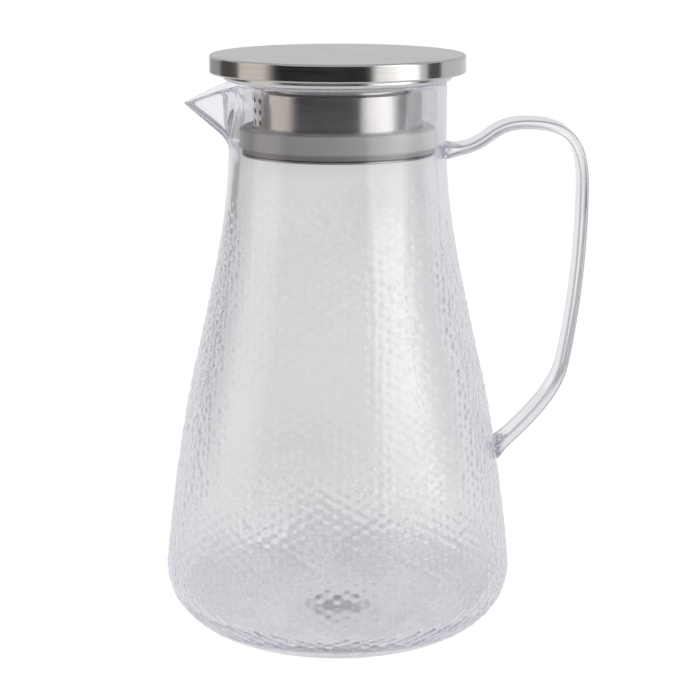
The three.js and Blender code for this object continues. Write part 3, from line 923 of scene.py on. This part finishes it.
shoulder_lengths += [*between(spout_foot, side_end, SPOUT_STEP), side_end]
places = [outside.at(length) for length in shoulder_lengths]
places += [(NECK_RADIUS, height) for height in between(neck_start, rim_start, NECK_STEP)]
places += quarter(NECK_RADIUS - RIM_ROUND, rim_start, RIM_ROUND, 0, RIM_STEPS)
places += quarter(bore + RIM_ROUND, rim_start, RIM_ROUND, 90, RIM_STEPS)
places += [(bore, height) for height in between(rim_start, neck_start, BORE_STEP)]
places.append(inside.at(inner_end))
for place in places:
    jug_skin.add(wall_ring(*place))
for length in between(inner_end, 0.0, INSIDE_STEP):
    jug_skin.add(wall_ring(*inside.at(length), INNER_COLUMNS))
for ring_radius in (BASE_RADIUS - WALL, *FLOOR_RINGS):
    jug_skin.add(wall_ring(ring_radius, FLOOR, INNER_COLUMNS))
jug_skin.add(np.array([[0.0, 0.0, FLOOR]]))
jug = jug_skin.build("jug_wall")
fit_piece(jug, (body_acrylic, scuffed_acrylic), "jug", "jug_body")
for face in jug.data.polygons:
    if face.center.z < (GATE_DEPTH + HAIR) * MM and face.normal.z < LOOKS_DOWN:
        face.material_index = 1
print("triangles in the wall:", sum(len(face) - 2 for face in jug_skin.faces))

# %% [markdown]
# ## The handle
# The handle is a flat strap, moulded by itself and bonded to the jug at two roots. A curve object with a
# bevel could make it, but its ends have to follow the wall. So its centre line is four Bezier curves as
# numbers: out of the neck and over an arch, down into the grip, inwards at a bend, and into the side. It
# starts and ends inside the wall.

# %% Draw the strap's centre line
ROOT_DROP = 28.6
ARCH_OUT, ARCH_RISE = 32.6, 11.2
CORNER_OUT, CORNER_DROP = 55.88, 27.2
BEND_IN, BEND_HEIGHT, BEND_TURN = 6.9, 113.0, math.radians(11.5)
FOOT_HEIGHT, FOOT_TURN = 74.7, math.radians(42)
STRAP_LEAD = 8.0
# Shares of a stretch that its curve runs straight on from its start and straight in to its end.
ARCH_LEADS, CORNER_LEADS, GRIP_LEADS, LEG_LEADS = (0.6, 0.5), (0.74, 0.76), (0.35, 0.3), (0.24, 0.5)


def side_radius(height):
    return float(np.interp(height, outside.points[:, 1], outside.points[:, 0]))


def strap_line():
    root = np.array((NECK_RADIUS - WALL / 2, JUG_HEIGHT - ROOT_DROP))
    arch = np.array((NECK_RADIUS + ARCH_OUT, root[1] + ARCH_RISE))
    corner = np.array((NECK_RADIUS + CORNER_OUT, arch[1] - CORNER_DROP))
    bend = np.array((corner[0] - BEND_IN, BEND_HEIGHT))
    foot = np.array((side_radius(FOOT_HEIGHT) - WALL / 2, FOOT_HEIGHT))
    bend_way = np.array((-math.sin(BEND_TURN), -math.cos(BEND_TURN)))
    foot_way = np.array((-math.cos(FOOT_TURN), -math.sin(FOOT_TURN)))
    rise, reach = arch[0] - root[0], corner[0] - arch[0]
    grip, leg = np.linalg.norm(bend - corner), np.linalg.norm(foot - bend)
    stretches = (
        bezier(root, root + (ARCH_LEADS[0] * rise, 0), arch - (ARCH_LEADS[1] * rise, 0), arch),
        bezier(arch, arch + (CORNER_LEADS[0] * reach, 0), corner + (0, CORNER_LEADS[1] * CORNER_DROP), corner),
        bezier(corner, corner - (0, GRIP_LEADS[0] * grip), bend - GRIP_LEADS[1] * grip * bend_way, bend),
        bezier(bend, bend + LEG_LEADS[0] * leg * bend_way, foot - LEG_LEADS[1] * leg * foot_way, foot),
    )
    lead_in = [root - (STRAP_LEAD, 0.0)]
    lead_out = [foot + STRAP_LEAD * foot_way]
    return Line(np.concatenate([lead_in, stretches[0], *(part[1:] for part in stretches[1:]), lead_out]))


strap = strap_line()
print("length of the strap in mm:", round(strap.lengths[-1], 1))

# %% [markdown]
# The real strap has rounded corners and grows thicker at its roots. A Boolean modifier could trim the
# ends, but it leaves uneven faces that show in a clear piece. Instead each edge line of the strap starts
# and ends where it meets the wall, so the root faces take the curve of the wall and leave a hair of bond.

# %% Carry the section along it
STRAP_WIDTH = 18.0
STRAP_THICKNESS = 3.6
STRAP_ROUND = 0.8
ROOT_THICKNESS = 5.6
ROOT_LENGTH = 7.0
BOND = 0.12
STRAP_STEPS = 170
FINE_STEPS = 4000


def strap_section():
    """Rounded outline of the strap, clockwise, with extra points on its wide faces."""
    side = STRAP_THICKNESS / 2
    x, y = STRAP_WIDTH / 2 - STRAP_ROUND, side - STRAP_ROUND
    outline = quarter(x, y, STRAP_ROUND, 0)
    outline += [(x * share, side) for share in (0.5, 0.0, -0.5)]
    outline += quarter(-x, y, STRAP_ROUND, 90) + quarter(-x, -y, STRAP_ROUND, 180)
    outline += [(x * share, -side) for share in (-0.5, 0.0, 0.5)]
    outline += quarter(x, -y, STRAP_ROUND, 270)
    return np.array(outline[::-1])


def strap_points(length, across):
    """Points of one edge line at lengths along the strap. Its place in the section is across."""
    from_end = np.minimum(length, strap.lengths[-1] - length) - STRAP_LEAD - WALL / 2
    flare = np.clip(1 - from_end / ROOT_LENGTH, 0.0, 1.0) ** 2
    half = (STRAP_THICKNESS + (ROOT_THICKNESS - STRAP_THICKNESS) * flare) / 2
    offset = across[1] + np.sign(across[1]) * (half - STRAP_THICKNESS / 2)
    x, z = strap.at(length)
    way_x, way_z = strap.way(length)
    return np.stack((x - way_z * offset, np.full_like(x, across[0]), z + way_x * offset), 1)


def clear_of_wall(points):
    """How far points stand off the outside of the jug, less the bond."""
    heights, radii = [*outside.points[:, 1], JUG_HEIGHT], [*outside.points[:, 0], NECK_RADIUS]
    return np.hypot(points[:, 0], points[:, 1]) - np.interp(points[:, 2], heights, radii) - BOND


def edge_line(across):
    """One edge line of the strap, from wall to wall."""
    fine = np.linspace(0.0, strap.lengths[-1], FINE_STEPS + 1)
    stand_off = clear_of_wall(strap_points(fine, across))
    free = np.flatnonzero(stand_off > 0)
    leaves, meets = [free[0] - 1, free[0]], [free[-1] + 1, free[-1]]
    first, last = (np.interp(0.0, stand_off[pair], fine[pair]) for pair in (leaves, meets))
    return strap_points(np.linspace(first, last, STRAP_STEPS + 1), across)


section = strap_section()
edge_lines = np.array([edge_line(across) for across in (*section, np.zeros(2))])
strap_skin = Skin()
strap_skin.add(edge_lines[-1, :1])
for step in range(STRAP_STEPS + 1):
    strap_skin.add(edge_lines[:-1, step])
strap_skin.add(edge_lines[-1, -1:])
handle = strap_skin.build("strap_handle")
print("rings in the handle:", STRAP_STEPS + 1)

# %% [markdown]
# The handle's material needs to know how close each vertex is to a rounded corner, where it paints shade,
# and to a bonded root.
# A painted mask could tell, but it needs an unwrapped mesh. Attributes are plain numbers in the order of
# the vertices: one at the upper root, ring by ring, one at the lower root.

# %% Mark the corners and the bond
SHADE_ON_INNER_CORNER = [0.0, 0.2, 0.7, 0.7, 0.2, 0.0]
SHADE_ON_OUTER_CORNER = [0.05, 0.4, 1.0, 1.0, 0.4, 0.05]
ON_FACE = [0.0, 0.0, 0.0]
BOND_AT_ROOT, BOND_LOST_PER_STEP = 1.2, 0.4


def store(name, values):
    handle.data.attributes.new(name, "FLOAT", "POINT").data.foreach_set("value", values)


inner_corner_shade = SHADE_ON_INNER_CORNER + ON_FACE + SHADE_ON_INNER_CORNER
outer_corner_shade = SHADE_ON_OUTER_CORNER + ON_FACE + SHADE_ON_OUTER_CORNER
# The numbers stored as corner say how much painted shade each vertex takes.
store("corner", [0.0, *(inner_corner_shade + outer_corner_shade) * (STRAP_STEPS + 1), 0.0])
from_root = np.minimum(np.arange(STRAP_STEPS + 1), STRAP_STEPS - np.arange(STRAP_STEPS + 1))
bonded = np.clip(BOND_AT_ROOT - BOND_LOST_PER_STEP * from_root, 0.0, 1.0)
store("bond", [1.0, *np.repeat(bonded, len(section)), 1.0])
fit_piece(handle, (handle_acrylic,), "jug", "handle")

# %% [markdown]
# ## Brushed steel
# The lid is stainless sheet, brushed round and round, and it mirrors the studio in soft stripes. Five
# trees could be built one by one, but the five steels differ only in their grey, their gloss and the
# spacing of their lines, so one function mixes them: the cap, the plate under it, the tube, its inside,
# which is dull and painted dark as shade, and the carrier of the seal. A Bump node is enough for lines as
# fine as these.

# %% Mix the steels
STROKE_RELIEF = 0.25


def relief(tree, shader, height, strength, distance):
    """Tilts the shader's normal by a height that changes over the surface."""
    bump = add(tree, "Bump", Strength=strength, Distance=distance, Height=height)
    fill(tree, shader, Normal=bump.outputs["Normal"])


def steel(name, bright, dull, smoothest, roughest, lines_per_metre, stretch, depth):
    material, tree, shader = new_finish(name)
    finish = {"Bright": bright, "Dull": dull, "Smoothest": smoothest, "Roughest": roughest}
    brushed = use_group(tree, brushing, Lines_per_metre=lines_per_metre, Stretch=stretch, **finish)
    fill(tree, shader, Metallic=1.0, Base_Color=brushed["Colour"], Roughness=brushed["Roughness"])
    relief(tree, shader, brushed["Height"], STROKE_RELIEF, depth)
    return material


# Bright grey, dull grey, smoothest, roughest, lines per metre, their stretch and their depth in metres.
cap_steel = steel("cap_steel", (0.57, 0.565, 0.555), (0.51, 0.505, 0.495), 0.13, 0.19, 2600.0, 2.0, 2e-6)
plate_steel = steel("plate_steel", (0.72, 0.715, 0.70), (0.64, 0.635, 0.625), 0.18, 0.3, 2600.0, 2.0, 3e-6)
tube_steel = steel("tube_steel", (0.86, 0.85, 0.84), (0.80, 0.79, 0.78), 0.18, 0.23, 2000.0, 1.5, 1e-6)
# The tube's second steel is painted dark as shade, for its inside and the groove of the joint.
dull_shaded_steel = steel("dull_shaded_steel", (0.26, 0.255, 0.25), (0.20, 0.195, 0.19), 0.4, 0.5, 2000.0, 1.5, 1e-6)
carrier_steel = steel("carrier_steel", (0.62, 0.615, 0.61), (0.5, 0.495, 0.49), 0.2, 0.32, 2400.0, 2.0, 3e-6)
print("steels:", [m.name for m in (cap_steel, plate_steel, tube_steel, dull_shaded_steel, carrier_steel)])

# %% [markdown]
# ## The lid
# Cap, underplate, tube, carrier and seal are all round about the axis, so each is one outline that closes
# on itself or on the axis. A Screw modifier could turn them, but the skin of rings is already here and
# closes the axis with one vertex. Small rounds on the edges catch the thin bright lines that make sheet
# look like metal.

# %% Turn an outline into a solid
LID_COLUMNS = 192
SUPPORT = 0.15
LONG_STRETCH = 1.0
SHARP_ANGLE = math.radians(32)


def with_supports(outline):
    """Adds a place close to each end of every long stretch, so that its shading stays flat."""
    supported = []
    for here, there in zip(outline, outline[1:]):
        supported.append(here)
        length = math.dist(here, there)
        if length > LONG_STRETCH:
            for share in (SUPPORT / length, 1 - SUPPORT / length):
                supported.append(tuple(np.array(here) + (np.array(there) - here) * share))
    return [*supported, outline[-1]]


def turn(name, outline):
    """A solid of revolution. A place on the axis becomes one vertex."""
    skin = Skin()
    bearing = np.arange(LID_COLUMNS) * TURN / LID_COLUMNS
    for ring_radius, ring_height in with_supports(outline):
        if ring_radius == 0:
            skin.add(np.array([[0.0, 0.0, ring_height]]))
        else:
            skin.add(about_axis(bearing, ring_radius, ring_height))
    if outline[0][0] > 0:
        skin.join(*skin.last, np.arange(LID_COLUMNS), 0.0)
    made = skin.build(name)
    made.data.set_sharp_from_angle(angle=SHARP_ANGLE)
    return made


print("columns on the lid:", LID_COLUMNS)

# %% [markdown]
# The cap is a drawn disc with a short skirt, and its lower edge is rolled inwards into a hem. The
# underplate is a stepped dish whose flange lies in the cap above the hem. Two plain discs would look
# alike from above, but the hem and the step show from below when the lid is lifted.

# %% Turn the cap and the underplate
SHEET, FIT = 0.8, 0.3
CAP_HEIGHT, CAP_EDGE_ROUND, CAP_OVERHANG = 7.3, 0.9, 5.4
HEM_HEIGHT, HEM_DEPTH, HEM_ROUND = 1.6, 2.2, 0.6
PLATE_OVERHANG, PLATE_STEP, PLATE_ROUND = 2.2, 2.9, 1.4
# Extra rings in the wide flat faces, as shares of the radius.
CAP_RINGS, PLATE_RING = (0.7, 0.35), 0.5

plate_radius = NECK_RADIUS + PLATE_OVERHANG
plate_bottom = JUG_HEIGHT + FIT
cap_radius = plate_radius + CAP_OVERHANG
cap_bottom = plate_bottom + PLATE_STEP
cap_top = cap_bottom + CAP_HEIGHT
hem_inner, hem_top = cap_radius - HEM_DEPTH, cap_bottom + HEM_HEIGHT
flange_radius, flange_bottom = cap_radius - SHEET - FIT, hem_top + FIT
cap = turn("brushed_cap", [
    (0.0, cap_top - SHEET),
    (cap_radius - SHEET, cap_top - SHEET),
    (cap_radius - SHEET, hem_top),
    *quarter(hem_inner + HEM_ROUND, hem_top - HEM_ROUND, HEM_ROUND, 90),
    *quarter(hem_inner + HEM_ROUND, cap_bottom + HEM_ROUND, HEM_ROUND, 180),
    *quarter(cap_radius - HEM_ROUND, cap_bottom + HEM_ROUND, HEM_ROUND, 270),
    *quarter(cap_radius - CAP_EDGE_ROUND, cap_top - CAP_EDGE_ROUND, CAP_EDGE_ROUND, 0),
    *((share * cap_radius, cap_top) for share in CAP_RINGS),
    (0.0, cap_top),
])
fit_piece(cap, (cap_steel,), "lid", "lid_cap")
plate = turn("underplate_dish", [
    (0.0, plate_bottom),
    (PLATE_RING * plate_radius, plate_bottom),
    *quarter(plate_radius - PLATE_ROUND, plate_bottom + PLATE_ROUND, PLATE_ROUND, 270),
    (plate_radius, flange_bottom),
    (flange_radius, flange_bottom),
    (flange_radius, flange_bottom + SHEET),
    (plate_radius - SHEET, flange_bottom + SHEET),
    (plate_radius - SHEET, plate_bottom + PLATE_ROUND),
    (plate_radius - PLATE_ROUND, plate_bottom + SHEET),
    (0.0, plate_bottom + SHEET),
])
fit_piece(plate, (plate_steel,), "lid", "lid_underplate")

# %% [markdown]
# ## The strainer
# The strainer is a steel tube with a shallow joint line near its top and a patch of round holes that
# faces the spout. A see-through pattern could stand for the holes, but real ones show the thickness of
# the sheet. Each drill is a small cylinder, and all the drills are one mesh, so that one cut is enough.

# %% Turn the tube and make the drills
TUBE_LENGTH = 29.7
SEAL_WIDTH = 5.45
HOLE_RADIUS = 1.2
HOLE_ROWS, HOLE_COLUMNS = 3, 7
HOLE_ROW_PITCH, HOLE_COLUMN_PITCH = 4.4, 5.7
HOLE_TOP_DROP = 7.0
HOLE_SIDES = 28
DRILL_REACH = 3.0
EDGE, EDGE_STEPS = 0.15, 2
JOINT_DROP, JOINT_DEPTH = 3.6, 0.25
JOINT_HALF_TOP, JOINT_HALF_BOTTOM = 0.35, 0.2

tube_radius = bore - FIT - SEAL_WIDTH - FIT
tube_top = plate_bottom - FIT
tube_bottom = tube_top - TUBE_LENGTH
joint_height = tube_top - JOINT_DROP


def drills():
    points, faces = [], []
    turn_steps = np.arange(HOLE_SIDES) * TURN / HOLE_SIDES
    for row in range(HOLE_ROWS):
        for column in range(HOLE_COLUMNS):
            bearing = (column - (HOLE_COLUMNS - 1) / 2) * HOLE_COLUMN_PITCH / tube_radius
            centre_height = JUG_HEIGHT - HOLE_TOP_DROP - row * HOLE_ROW_PITCH
            near = [len(points) + i for i in range(HOLE_SIDES)]
            far = [i + HOLE_SIDES for i in near]
            for depth in (tube_radius - DRILL_REACH, tube_radius + DRILL_REACH):
                for a in turn_steps:
                    side, up = HOLE_RADIUS * math.cos(a), HOLE_RADIUS * math.sin(a)
                    x = -depth * math.cos(bearing) - side * math.sin(bearing)
                    y = -depth * math.sin(bearing) + side * math.cos(bearing)
                    points.append((x, y, centre_height + up))
            faces += [near, far[::-1]]
            faces += zip(near, far, far[1:] + far[:1], near[1:] + near[:1])
    return shape("drills", points, faces)


tube = turn("strainer_sleeve", [
    *quarter(tube_radius - EDGE, tube_bottom + EDGE, EDGE, 270, EDGE_STEPS),
    (tube_radius, joint_height - JOINT_HALF_TOP),
    (tube_radius - JOINT_DEPTH, joint_height - JOINT_HALF_BOTTOM),
    (tube_radius - JOINT_DEPTH, joint_height + JOINT_HALF_BOTTOM),
    (tube_radius, joint_height + JOINT_HALF_TOP),
    *quarter(tube_radius - EDGE, tube_top - EDGE, EDGE, 0, EDGE_STEPS),
    *quarter(tube_radius - SHEET + EDGE, tube_top - EDGE, EDGE, 90, EDGE_STEPS),
    *quarter(tube_radius - SHEET + EDGE, tube_bottom + EDGE, EDGE, 180, EDGE_STEPS),
])
drill_set = drills()
print("holes:", HOLE_ROWS * HOLE_COLUMNS)

# %% [markdown]
# The holes could be left to a Boolean modifier on the object, but then they would be cut anew for every
# pose. So its result is copied into the mesh and the drills are thrown away. The inside of the tube and
# the bottom of the joint line take the second steel, which is rougher and painted dark: painted shade,
# for the shade inside the tube and in the groove of the joint.

# %% Drill the strainer
IN_JOINT = 0.15

cut = tube.modifiers.new("holes", "BOOLEAN")
cut.operation = "DIFFERENCE"
cut.solver = "EXACT"
cut.object = drill_set
bpy.context.view_layer.update()
drilled = bpy.data.meshes.new_from_object(tube.evaluated_get(bpy.context.evaluated_depsgraph_get()))
tube.modifiers.clear()
tube.data = drilled
drill_mesh = drill_set.data
bpy.data.objects.remove(drill_set)
bpy.data.meshes.remove(drill_mesh)
drilled.polygons.foreach_set("use_smooth", [True] * len(drilled.polygons))
drilled.set_sharp_from_angle(angle=SHARP_ANGLE)
fit_piece(tube, (tube_steel,), "lid", "strainer_tube")
# The inside and the groove of the joint take the dark steel: painted shade.
drilled.materials.append(dull_shaded_steel)
for face in drilled.polygons:
    from_axis = math.hypot(face.center.x, face.center.y)
    in_joint = abs(face.center.z - joint_height * MM) < IN_JOINT * MM
    if from_axis < (tube_radius - SHEET / 2) * MM or in_joint:
        face.material_index = 1

# %% [markdown]
# ## The seal
# A frosted silicone ring closes the gap between the tube and the neck. It sits on a thin steel flange
# round the foot of the tube. The flange could be one with the tube, but in the solids it is a ring of its
# own, so it is turned by itself here too.

# %% Turn the flange
CARRIER_HEIGHT = 1.0
CARRIER_ROUND = 0.35
CARRIER_INSET = 1.5
CARRIER_STEPS = 3

inner_radius = tube_radius + FIT
carrier_radius = bore - CARRIER_INSET
carrier_top = tube_bottom + CARRIER_HEIGHT
carrier = turn("seal_flange", [
    (inner_radius, tube_bottom),
    *quarter(carrier_radius - CARRIER_ROUND, tube_bottom + CARRIER_ROUND, CARRIER_ROUND, 270, CARRIER_STEPS),
    *quarter(carrier_radius - CARRIER_ROUND, carrier_top - CARRIER_ROUND, CARRIER_ROUND, 0, CARRIER_STEPS),
    (inner_radius, carrier_top),
])
fit_piece(carrier, (carrier_steel,), "lid", "seal_carrier")

# %% [markdown]
# Silicone lets light in and scatters it. A clear material with a rough surface could look frosted, but it
# would stay clear in its depth, so this one has some subsurface scattering under a dull surface. The foot
# of the ring is as wide as the flange, and the lip above it reaches the neck. The foot is painted darker:
# painted shade, for the shadow that the lip casts on it. The ring rides on a body of its own, because the
# lid turns in it.

# %% Mix the silicone and turn the seal
SEAL_ROUND = 0.4
SEAL_FOOT_HEIGHT, SEAL_FOOT_ROUND, SEAL_FOOT_STEPS = 2.4, 0.3, 2
SEAL_LIP_HEIGHT = 7.5
# The foot's tint is painted shade: the shadow that the lip casts on the foot.
SEAL_FOOT_SHADE = (0.52, 0.51, 0.51)
FOOT_SHADE_BELOW, FOOT_SHADE_ABOVE = 1.2, 0.6
SILICONE_INDEX = 1.41
SILICONE_CLEARNESS = 0.12
SILICONE_SCATTER, SILICONE_DEPTH = 0.4, 0.0012
SILICONE_RELIEF, SILICONE_RELIEF_DEPTH = 0.2, 0.0002

seal_radius = bore - FIT
seal_bottom = carrier_top + FIT
lip_bottom = seal_bottom + SEAL_FOOT_HEIGHT
lip_top = lip_bottom + SEAL_LIP_HEIGHT


def silicone_finish():
    material, tree, shader = new_finish("frosted_silicone")
    tints = {"Clear_tint": (0.97, 0.965, 0.955), "Cloudy_tint": (0.92, 0.915, 0.905)}
    marks = use_group(tree, handling, Cloud_scale=70.0, Clean=0.38, Smeared=0.55, **tints)
    height = split(tree, object_place(tree))["Z"]
    # Painted shade: the foot below the lip is darkened by height.
    shade_on_foot = fade(tree, height, (lip_bottom - FOOT_SHADE_BELOW) * MM, (lip_bottom + FOOT_SHADE_ABOVE) * MM)
    tint = mix(tree, shade_on_foot, marks["Tint"], SEAL_FOOT_SHADE)
    fill(tree, shader, Base_Color=tint, Roughness=marks["Roughness"], IOR=SILICONE_INDEX)
    fill(tree, shader, Transmission_Weight=SILICONE_CLEARNESS, Subsurface_Weight=SILICONE_SCATTER)
    fill(tree, shader, Subsurface_Radius=[SILICONE_DEPTH] * 3)
    relief(tree, shader, marks["Height"], SILICONE_RELIEF, SILICONE_RELIEF_DEPTH)
    return material


silicone = silicone_finish()
foot_radius = carrier_radius - SEAL_FOOT_ROUND
seal = turn("silicone_ring", [
    (inner_radius, seal_bottom),
    *quarter(foot_radius, seal_bottom + SEAL_FOOT_ROUND, SEAL_FOOT_ROUND, 270, SEAL_FOOT_STEPS),
    (carrier_radius, lip_bottom),
    *quarter(seal_radius - SEAL_ROUND, lip_bottom + SEAL_ROUND, SEAL_ROUND, 270),
    *quarter(seal_radius - SEAL_ROUND, lip_top - SEAL_ROUND, SEAL_ROUND, 0),
    (inner_radius, lip_top),
])
fit_piece(seal, (silicone,), "seal", "seal")
